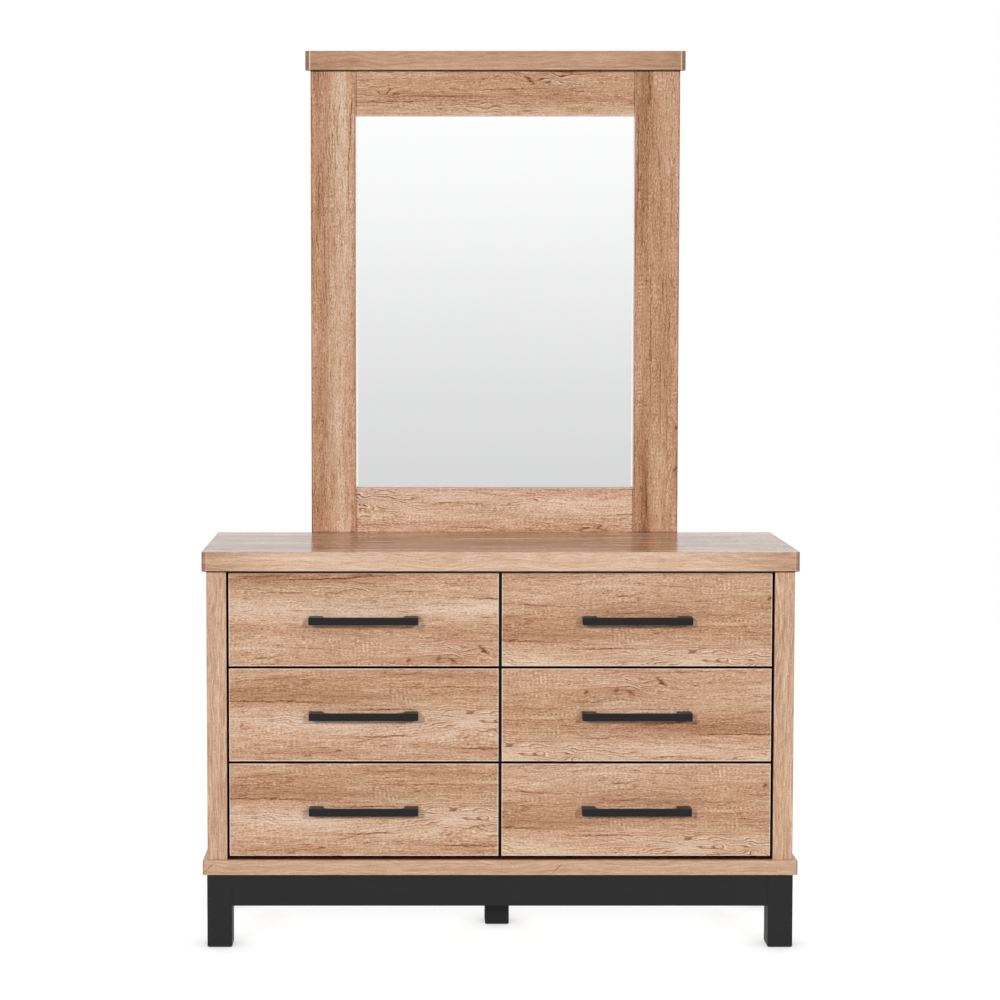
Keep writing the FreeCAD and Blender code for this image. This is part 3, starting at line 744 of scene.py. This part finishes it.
def edging_place(g, spot, looks):
    """Where a point is along the edging, which runs round the corners, and what a board's looks add there."""
    along, across = spot.place[spot.along], spot.place[spot.across]
    turned = g.math("ABSOLUTE", spot.normal[spot.along])
    tone = looks["edging"]
    if looks["corners"]:
        # Painted shade on the rounded corners and towards the ends, painted highlights at the seams and along
        # the lower edge, painted shadow under the top
        corner = 1.0 - spot.from_end.above(*CORNER_REACH)
        seam_highlight = spot.from_end.above(*CORNER_REACH) - spot.from_end.above(*SEAM_REACH)
        arris = 1.0 - spot.rise.above(*ARRIS_WIDTHS)
        ends = 1.0 - spot.from_end.above(*ENDS_REACH)
        painted_shade = (corner * PAINTED_CORNER_SHADE + ends * looks["ends"]) * (1.0 - turned.above(*ROUNDED))
        tone = tone + painted_shade + seam_highlight * looks["seam_highlight"] + arris * PAINTED_ARRIS_HIGHLIGHT
        if looks["painted_lip_shadow"]:
            painted_lip_shadow = (1.0 - spot.rise.above(*LIP_WIDTHS)) * spot.from_end.above(*LIP_REACH)
            tone = tone + painted_lip_shadow * looks["painted_lip_shadow"]
        return along + g.math("SIGN", along) * (across - spot.low[spot.across] * MM), tone
    turn = turned.above(*TURNED)
    along = along + turn * (across - along)
    if looks["hairlines"]:
        hairlines = sum_of(g, along, spot.rise, HAIRLINES, HAIRLINE_PERIOD) * looks["hairlines"]
        arris = 1.0 - spot.from_end.above(*RIM_WIDTHS)
        tone = tone + hairlines + arris * (1.0 - turn) * END_TONE
    return along, tone


def oak_board(name, face, along, across, looks):
    """Oak board: the print on its two broad faces and edging on the rest.

    face is the axis of the broad faces. along and across are (axis, direction, place on the sheet at 0).
    """
    looks = {**PLAIN_LOOKS, **looks}
    made, g = material(name)
    spot = Spot(g, name, face, along[0], across[0])
    sheet = [spot.place[AXES[axis]] * direction + start for axis, direction, start in (along, across)]
    printed = g.call(
        OAK_PRINT,
        Sheet=g.join(*sheet), Tone=print_tone(g, spot, looks),
        Contrast=looks["contrast"], Contours=looks["contours"],
    )
    edge_along, edge_tone = edging_place(g, spot, looks)
    place = g.join(edge_along, spot.place[spot.face], looks["seed"])
    edging = g.call(OAK_EDGING, Place=place, Tone=edge_tone, Contrast=looks["edge_contrast"])

    broad_face = g.math("ABSOLUTE", spot.normal[spot.face]).above(*BROAD_FACE)
    rough, height = (
        edging[name] + (printed[name] - edging[name]) * broad_face for name in ("Roughness", "Height")
    )
    g.surface(
        Base_Color=g.mix(broad_face, edging["Colour"], printed["Colour"]),
        Roughness=rough * looks["dullness"],
        Normal=g.bump(height, OAK_RELIEF),
        Specular_IOR_Level=looks["specular"],
    )
    return made


# Looks of a board. Tones are in steps of lightness out of 255.
PLAIN_LOOKS = {
    # Printed faces: tones of the whole, of the arrises at its ends and sides, of the dark joint and painted
    # shade at its foot, and of the painted shadow under the cap
    "print": 0.0, "end_rim": 0.0, "side_rim": 0.0, "foot": 0.0, "painted_cap_shadow": 0.0,
    "contrast": 1.0, "contours": 1.0,
    # Tone of a darker band, and what a millimetre across the board adds: the top board gets darker towards
    # the back
    "band": 0.0, "slope": 0.0,
    # Tone of the painted shade inside the carcass, which side of the board that is, and how far from the
    # board's ends it starts
    "inside": 0.0, "inner_side": 1.0, "margin": -10.0,
    # Edging: tones, whether its corners are rounded, the seed of its grain, the painted highlight at the
    # corners' seams, the painted shade towards the ends and the painted shadow under the top
    "edging": 0.0, "edge_contrast": 1.0, "hairlines": 0.0, "seed": 11.0,
    "corners": False, "seam_highlight": 0.0, "ends": 0.0, "painted_lip_shadow": 0.0,
    # Whole board: share of the oak's roughness, and strength of its reflections
    "dullness": 1.0, "specular": 0.35,
}
# Drawers: near-black edging, painted shade in the gaps between the fronts; light rims, the edge band's line
# with a painted highlight
DRAWER_LOOKS = {"edging": -164.0, "end_rim": 48.0, "side_rim": 46.0, "seed": 5.0, "specular": 0.3}
# Mirror frame: its edging is lighter, painted light on edges that lie in shade; the rails' ends are dark
# joint lines, their sides painted highlights; the stiles' sides carry painted shade
RAIL_LOOKS = {"edging": 36.0, "end_rim": -58.0, "side_rim": 8.0, "seed": 8.0, "specular": 0.3}
STILE_LOOKS = {"edging": 36.0, "side_rim": -26.0, "painted_cap_shadow": -80.0, "foot": -50.0, "seed": 8.0, "specular": 0.3}

# Where each board is cut from the sheet: (grain axis, direction, start), (cross axis, direction, start)
BOARD_CUTS = {
    "drawer_top_left_front": (("x", 1.0, 824.0), ("z", 1.0, -377.3)),
    "drawer_middle_left_front": (("x", 1.0, 544.8), ("z", 1.0, -379.4)),
    "drawer_bottom_left_front": (("x", 1.0, 579.2), ("z", 1.0, -181.1)),
    "drawer_top_right_front": (("x", 1.0, 97.5), ("z", 1.0, -502.8)),
    "drawer_middle_right_front": (("x", 1.0, 465.8), ("z", 1.0, -312.6)),
    "drawer_bottom_right_front": (("x", 1.0, 103.6), ("z", 1.0, -122.4)),
    "mirror_top_rail": (("x", -1.0, 863.4), ("z", -1.0, 2007.0)),
    "mirror_bottom_rail": (("x", 1.0, 909.0), ("z", 1.0, -795.9)),
    "mirror_stile_left": (("z", -1.0, 1589.1), ("x", 1.0, 640.7)),
    "mirror_stile_right": (("z", -1.0, 2590.8), ("x", 1.0, -185.5)),
}
FRAME_LOOKS = {
    "mirror_top_rail": {**RAIL_LOOKS, "print": -7.0, "painted_cap_shadow": -80.0, "contrast": 1.05, "contours": 1.25},
    "mirror_bottom_rail": {**RAIL_LOOKS, "print": 5.0, "foot": -45.0, "contrast": 1.25, "contours": 1.5},
    "mirror_stile_left": {**STILE_LOOKS, "print": -11.0},
    "mirror_stile_right": {**STILE_LOOKS, "print": -6.0},
}
# Carcass boards: face, grain, cross and what differs in their looks
CARCASS_BOARDS = {
    "top_board": (
        "z", ("x", 0.5, 300.0), ("y", 0.6, 205.0),
        {
            "print": -12.0, "contrast": 1.15, "contours": 0.35, "band": -17.0, "slope": -0.02,
            "edging": 12.0, "edge_contrast": 1.1,
            "corners": True, "seam_highlight": 12.0, "ends": -26.0, "painted_lip_shadow": -130.0,
            "dullness": 0.6, "specular": 0.56,
        },
    ),
    "plinth_board": (
        "z", ("x", 1.0, 80.0), ("y", 1.0, 210.0),
        {
            "inside": -150.0, "margin": 46.0,
            "edging": -8.0, "edge_contrast": 0.9, "hairlines": -60.0, "seed": 23.0,
            "dullness": 0.8, "specular": 0.5,
        },
    ),
    "mirror_cap": (
        "z", ("x", 1.0, 150.0), ("y", 1.0, 90.0),
        {"edging": -17.0, "edge_contrast": 0.85, "seed": 37.0, "corners": True, "seam_highlight": 60.0, "ends": -16.0},
    ),
    "side_panel_left": (
        "x", ("z", 1.0, 40.0), ("y", 1.0, 190.0),
        {"inside": -150.0, "edging": -5.0, "edge_contrast": 1.4, "seed": 41.0},
    ),
    "side_panel_right": (
        "x", ("z", -1.0, 700.0), ("y", 1.0, 190.0),
        {"inside": -150.0, "inner_side": -1.0, "edging": -5.0, "edge_contrast": 1.4, "seed": 53.0},
    ),
    # The divider's front edge is near black, painted shade in the gap between the drawers
    "centre_divider": (
        "x", ("z", 1.0, 500.0), ("y", 1.0, 190.0),
        {"edging": -150.0, "seed": 61.0},
    ),
    "rear_stretchers": (
        "y", ("x", 1.0, 0.0), ("z", 1.0, -600.0),
        {"seed": 67.0},
    ),
}


# ---- Other materials ----

def shaded(shade, share):
    """A colour made darker by a share."""
    return tuple(value * share for value in shade[:3]) + (1.0,)


def coat(g, parts, shades, shading, roughness, relief, middle=0.5, **fixed):
    """Surface whose colour, roughness and relief follow named parts.

    shading is each one's weight in the mix of the two shades, about a middle. roughness is a plain value and
    what the parts add to it. relief is a height in metres and the weights. Further inputs are fixed.
    """
    plain, rough_weights = roughness
    height, relief_weights = relief
    g.surface(
        Base_Color=g.mix(blend(parts, shading, middle), *shades),
        Roughness=blend(parts, rough_weights, plain),
        Normal=g.bump(blend(parts, relief_weights), height),
        **fixed,
    )


def plain_material(name, shades, noises, **looks):
    """Material that follows a few noises. looks are what coat takes.

    noises are by name, each with the method of Graph that makes it and what that takes after the place.
    """
    made, g = material(name)
    place = g.place()
    parts = {title: method(g, place, *settings) for title, (method, *settings) in noises.items()}
    coat(g, parts, shades, **looks)
    return made


def black_coat(name, shade, rough, grain):
    """Satin black coat with a faint grain, in cycles per millimetre, and uneven sheen."""
    return plain_material(
        name, (shaded(shade, 0.72), shade),
        noises={"cloud": (Graph.speckle, 0.012), "peel": (Graph.speckle, grain)},
        shading={"cloud": 1.0, "peel": 0.6},
        roughness=(rough, {"cloud": 0.08, "peel": 0.1}),
        relief=(0.00006, {"peel": 1.0}),
        Specular_IOR_Level=0.3,
    )


def fibreboard(name, low, high):
    """Thin hardboard with short fibres."""
    return plain_material(
        name, (low, high),
        noises={
            "fibre": (Graph.speckle, 0.9, 4.0, 0.7, 1.2),
            "cloud": (Graph.speckle, 0.009),
            "flecks": (Graph.patches, (0.12, 0.3), (0.35, 0.35, 0.9), 2.0, 0.6, 2.0),
        },
        shading={"fibre": 0.9, "cloud": 0.5, "flecks": -0.3},
        roughness=(0.72, {"fibre": 0.15}),
        relief=(0.0002, {"fibre": 1.0}),
    )


def box_melamine(name):
    """Pale linen-grained melamine of the drawer boxes, with its grain along the board."""
    return plain_material(
        name, (colour(205, 176, 146), colour(224, 201, 174)),
        noises={
            "streak": (Graph.drawn_out, (60.0, 60.0, 2.4), 2.0, 0.6),
            "fine": (Graph.drawn_out, (14.0, 14.0, 0.8), 2.0, 0.6),
        },
        shading={"streak": 0.8, "fine": 0.4},
        roughness=(0.45, {"fine": 0.1}),
        relief=(0.00006, {"fine": 1.0}),
    )


def plated_steel(name, shade, rough):
    """Zinc-plated steel with a faint spangle."""
    return plain_material(
        name, (shaded(shade, 0.8), shade),
        noises={"spangle": (Graph.speckle, 0.12, 3.0, 0.6), "fine": (Graph.speckle, (1.4, 0.06, 1.4))},
        shading={"spangle": 0.9, "fine": 0.3},
        roughness=(rough, {"spangle": 0.16, "fine": 0.06}),
        relief=(0.00002, {"fine": 1.0}),
        Metallic=1.0,
    )


def moulded(name, shade, rough):
    """Moulded plastic with a fine matt grain."""
    return plain_material(
        name, (shaded(shade, 0.85), shade),
        noises={"grain": (Graph.speckle, 2.2), "cloud": (Graph.speckle, 0.05, 1.0)},
        shading={"cloud": 1.0, "grain": 0.4},
        roughness=(rough, {"grain": 0.12}),
        relief=(0.00005, {"grain": 1.0}),
    )


def beech(name):
    """Fluted beech of the dowels."""
    return plain_material(
        name, (colour(198, 158, 112), colour(222, 186, 140)),
        noises={"flecks": (Graph.speckle, 0.5, 3.0, 0.7)},
        shading={"flecks": 1.0},
        roughness=(0.6, {"flecks": 0.1}),
        relief=(0.0001, {"flecks": 1.0}),
    )


PINE_WANDER = (60.0, 60.0, 420.0)  # sizes of the noise that bends the growth rings, in millimetres
PINE_WANDER_REACH = 34.0      # and by how much
PINE_HEART = (0.8, 0.6)       # the way across the rings, in x and y
PINE_RING = 9.0
PINE_LATE_WOOD = (0.35, 0.92)  # where in a ring it begins, and where it is whole
PINE_FINE = ((0.9, 0.9, 45.0), 2.0, 0.6)


def softwood(name):
    """Planed pine of the battens, with its grain upright."""
    made, g = material(name)
    place = g.place()
    x, y, _ = g.split(place)
    wander = g.drawn_out(place, PINE_WANDER) * PINE_WANDER_REACH
    rings = g.math("FRACT", (x * PINE_HEART[0] + y * PINE_HEART[1] + wander) / PINE_RING)
    coat(
        g, {"late": rings.above(*PINE_LATE_WOOD), "fine": g.drawn_out(place, *PINE_FINE)},
        shades=(colour(222, 190, 143), colour(184, 136, 86)),
        shading={"late": 0.75, "fine": 0.5}, middle=0.0,
        roughness=(0.62, {"fine": 0.12}),
        relief=(0.00015, {"fine": 1.0, "late": -0.4}),
    )
    return made


SILVER_WAVE = (0.004, 1.0)
SILVER_HAZE = (0.03, 3.0)


def silvered_glass(name):
    """Mirror, seen as its silver, with the faintest waviness."""
    made, g = material(name)
    place = g.place()
    haze = g.math("ABSOLUTE", g.speckle(place, *SILVER_HAZE))
    coat(
        g, {"wave": g.speckle(place, *SILVER_WAVE), "haze": haze},
        shades=((0.978, 0.985, 0.982, 1.0), (0.988, 0.991, 0.992, 1.0)),
        shading={"wave": 1.0},
        roughness=(0.008, {"haze": 0.01}),
        relief=(0.00002, {"wave": 1.0}),
        Metallic=1.0,
    )
    return made


BEVEL_WIDTH = 0.004           # metres
BEVEL_FROST = 1.6             # cycles per millimetre
BEVEL_LEAN = (-0.12, 0.12)    # of its normal up, from where the bevel stays dark to where it has its painted glow
PAINTED_BEVEL_GLOW = (0.94, 0.98, 1.0, 1.0)  # painted glow of the bevel there
PAINTED_BEVEL_GLOW_STRENGTH = 0.8


def ground_glass(name):
    """Pale ground edge of the mirror, with a painted glow except at its foot."""
    made, g = material(name)
    lift = g.normal()[2].above(*BEVEL_LEAN)
    coat(
        g, {"frost": g.speckle(g.place(), BEVEL_FROST)},
        shades=(colour(224, 233, 240), colour(238, 244, 248)),
        shading={"frost": 1.0},
        roughness=(0.35, {"frost": 0.2}),
        relief=(0.00003, {"frost": 1.0}),
        Metallic=0.35,
        Emission_Color=g.mix(lift, BLACK, PAINTED_BEVEL_GLOW),
        Emission_Strength=PAINTED_BEVEL_GLOW_STRENGTH,
    )
    return made


# ---- Scene ----

def clear_scene():
    for item in list(bpy.data.objects):
        bpy.data.objects.remove(item)


def make_camera():
    data = bpy.data.cameras.new("camera")
    data.lens = CAMERA_LENS
    data.sensor_width = CAMERA_SENSOR
    data.shift_x, data.shift_y = CAMERA_SHIFT
    camera = bpy.data.objects.new("camera", data)
    camera.location = CAMERA_PLACE
    camera.rotation_euler = Euler((math.radians(90.0 - CAMERA_TILT), 0.0, 0.0))
    bpy.context.scene.collection.objects.link(camera)
    bpy.context.scene.camera = camera


def make_lights():
    """Soft lights ahead of the object and behind it, left and right."""
    for azimuth, elevation, strength in SOFT_LIGHTS:
        data = bpy.data.lights.new("soft_light", "SUN")
        data.energy = strength
        data.angle = math.radians(SUN_SPREAD)
        lamp = bpy.data.objects.new("soft_light", data)
        turn, rise = math.radians(azimuth), math.radians(elevation)
        source = Vector((
            math.sin(turn) * math.cos(rise),
            -math.cos(turn) * math.cos(rise),
            math.sin(rise),
        ))
        lamp.rotation_euler = source.to_track_quat("Z", "Y").to_euler()
        lamp.visible_glossy = False
        bpy.context.scene.collection.objects.link(lamp)


def make_world():
    """White to the camera, a pale gradient in mirrors, and even light on matt surfaces."""
    world = bpy.data.worlds.new("studio")
    world.use_nodes = True
    bpy.context.scene.world = world
    g = Graph(world.node_tree)
    direction = g.node("ShaderNodeTexCoord")
    slope = g.split(Field(g, direction.outputs["Generated"]))[2]
    low, high = SURROUND_SLOPES
    stops = [(place, (shade, shade, shade, 1.0)) for place, shade in SURROUND_SHADES]
    mirrored = g.ramp((slope - low) / (high - low), stops)
    camera, shown = g.rays()
    light = AMBIENT + shown * (mirrored - AMBIENT)
    background = g.node("ShaderNodeBackground")
    background.inputs["Color"].default_value = WHITE
    g.feed(background.inputs["Strength"], light + camera * (1.0 - light))
    output = g.node("ShaderNodeOutputWorld")
    g.tree.links.new(background.outputs[0], output.inputs["Surface"])


def make_floor():
    """Pale floor that keeps the object's shadow and melts into the surroundings."""
    half = FLOOR_SIZE / 2
    mesh = bpy.data.meshes.new("floor")
    corners = [(-half, -half, 0.0), (half, -half, 0.0), (half, half, 0.0), (-half, half, 0.0)]
    mesh.from_pydata(corners, [], [(0, 1, 2, 3)])
    floor = bpy.data.objects.new("floor", mesh)
    bpy.context.scene.collection.objects.link(floor)
    made, g = material("floor")
    mesh.materials.append(made)

    camera, shown = g.rays()
    matt = g.node("ShaderNodeBsdfDiffuse")
    albedo = FLOOR_ALBEDO + camera * (FLOOR_SEEN_ALBEDO - FLOOR_ALBEDO)
    g.feed(matt.inputs["Color"], g.join(albedo, albedo, albedo))
    glow = g.node("ShaderNodeEmission")
    near = g.node("ShaderNodeAmbientOcclusion")
    near.inputs["Distance"].default_value = CONTACT_REACH
    contact = (1.0 - Field(g, near.outputs["AO"])) * CONTACT_SHADE
    g.feed(glow.inputs["Strength"], camera * (FLOOR_GLOW_SEEN - contact) + shown * FLOOR_GLOW_MIRRORED)
    both = g.node("ShaderNodeAddShader")
    g.tree.links.new(matt.outputs[0], both.inputs[0])
    g.tree.links.new(glow.outputs[0], both.inputs[1])
    clear = g.node("ShaderNodeBsdfTransparent")
    fade = g.node("ShaderNodeMixShader")
    radius = g.vector("LENGTH", g.place(), output=1) / MM
    g.feed(fade.inputs[0], radius.above(*FLOOR_FADE))
    g.tree.links.new(both.outputs[0], fade.inputs[1])
    g.tree.links.new(clear.outputs[0], fade.inputs[2])
    output = g.node("ShaderNodeOutputMaterial")
    g.tree.links.new(fade.outputs[0], output.inputs["Surface"])


def dress(node, *finishes):
    """Give a CAD node its finishes, the first one everywhere."""
    slots = NODES[node].data.materials
    slots.clear()
    for finish in finishes:
        slots.append(finish)


def dress_part(node, slot, chosen):
    """Give a slot to the faces of a CAD node whose centre passes a test."""
    for polygon in NODES[node].data.polygons:
        if chosen(polygon.center):
            polygon.material_index = slot


def near_rim(point, low, high):
    """Whether a point of the glass is on its bevel."""
    return min(point.x - low.x, high.x - point.x, point.z - low.z, high.z - point.z) < BEVEL_WIDTH


GLIDE_RANGE = (0.158, 0.18)   # where the nylon glides are on the drawers' runners, in metres
HAIR = 1e-5                   # metres, less than any gap

clear_scene()
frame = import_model()
NODES = frame["nodes"]
bpy.context.scene.view_settings.view_transform = "Standard"

FRONTS_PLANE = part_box("drawer_bottom_left_front")[0].y * MM
OAK_PRINT = oak_print()
OAK_EDGING = oak_edging()
for name, (along, across) in BOARD_CUTS.items():
    dress(name, oak_board(name, "y", along, across, FRAME_LOOKS.get(name, DRAWER_LOOKS)))
for name, (face, along, across, looks) in CARCASS_BOARDS.items():
    dress(name, oak_board(name, face, along, across, looks))

BLACK_LACQUER = black_coat("black_lacquer", colour(33, 32, 33), rough=0.45, grain=0.7)
BLACK_METAL = black_coat("black_metal", colour(23, 23, 27), rough=0.4, grain=2.5)
HARDBOARD = fibreboard("hardboard", colour(128, 92, 60), colour(172, 132, 92))
BATTEN = softwood("raw_batten")
BOX_BOARD = box_melamine("box_board")
RUNNER_STEEL = black_coat("runner_steel", colour(62, 58, 56), rough=0.4, grain=1.2)
ZINC = plated_steel("zinc_steel", (0.72, 0.72, 0.7, 1.0), rough=0.3)
NYLON = moulded("nylon", colour(96, 94, 92), rough=0.45)
PAD = moulded("pad_plastic", colour(70, 68, 66), rough=0.5)
DOWEL_WOOD = beech("beech")
MIRROR = silvered_glass("mirror")
BEVEL = ground_glass("mirror_bevel")

for finish, names in (
    (BLACK_LACQUER, ("base_front_rail", "base_back_rail", "base_short_rails", "base_legs")),
    (PAD, ("leg_pads",)),
    (HARDBOARD, ("back_panel", "mirror_backing_board")),
    (BATTEN, ("mirror_battens",)),
    (DOWEL_WOOD, ("wood_dowels",)),
    (ZINC, ("wood_screws", "panel_pins")),
    (RUNNER_STEEL, ("cabinet_runners",)),
):
    for name in names:
        dress(name, finish)
dress("mirror_glass", MIRROR, BEVEL)
glass_low, glass_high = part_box("mirror_glass")
dress_part("mirror_glass", 1, lambda point: near_rim(point, glass_low, glass_high))
for body in frame["bodies"]:
    if body == "cabinet":
        continue
    for board in ("sides", "back", "bottom"):
        dress(f"{body}_{board}", BOX_BOARD)
    dress(f"{body}_runners", RUNNER_STEEL, NYLON)
    dress_part(f"{body}_runners", 1, lambda point: GLIDE_RANGE[0] < point.y < GLIDE_RANGE[1])
    dress(f"{body}_handle", BLACK_METAL, ZINC)
    behind_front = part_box(f"{body}_front")[1].y - HAIR
    dress_part(f"{body}_handle", 1, lambda point: point.y > behind_front)

make_camera()
make_lights()
make_world()
make_floor()
